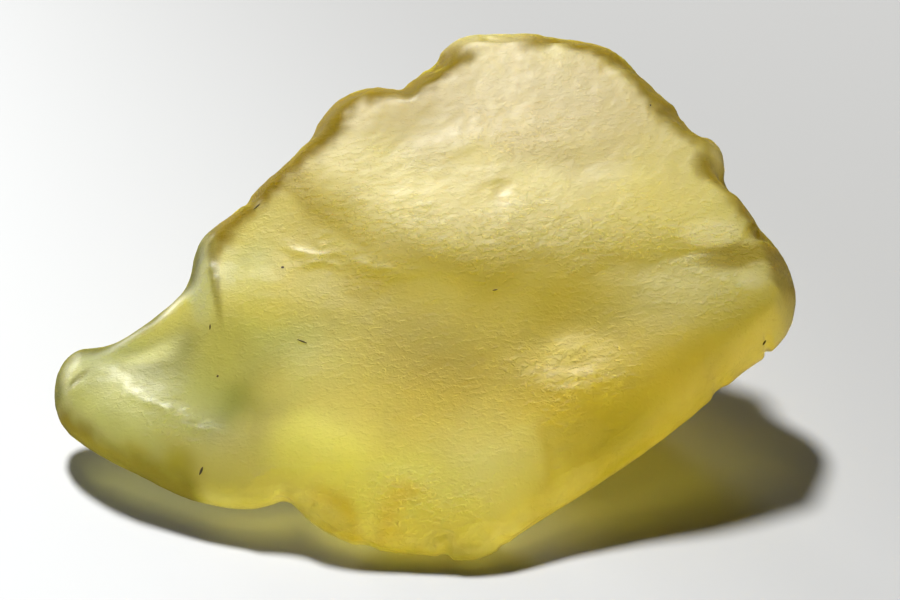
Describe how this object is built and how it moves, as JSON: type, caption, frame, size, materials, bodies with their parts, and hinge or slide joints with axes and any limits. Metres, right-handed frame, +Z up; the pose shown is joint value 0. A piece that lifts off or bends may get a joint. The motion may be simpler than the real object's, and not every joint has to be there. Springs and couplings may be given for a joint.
{
  "type": "libyan desert glass",
  "caption": "Chip of natural yellow desert glass, frosted by wind and sand, with a pointed arm; it lies leaning on the flat of its keel and on its lower edge.",
  "frame": {"origin": "middle of the bounding box, at the height of the ground it lies on", "axes": "+Z up from the ground; +X along the length, away from the pointed arm; the broad face leans back and is turned to -Y"},
  "size_m": [0.055, 0.037, 0.0231],
  "materials": {
    "desert_glass": "frosted by wind and sand"
  },
  "bodies": {
    "root": {"desert_glass": "desert_glass"}
  },
  "joints": []
}
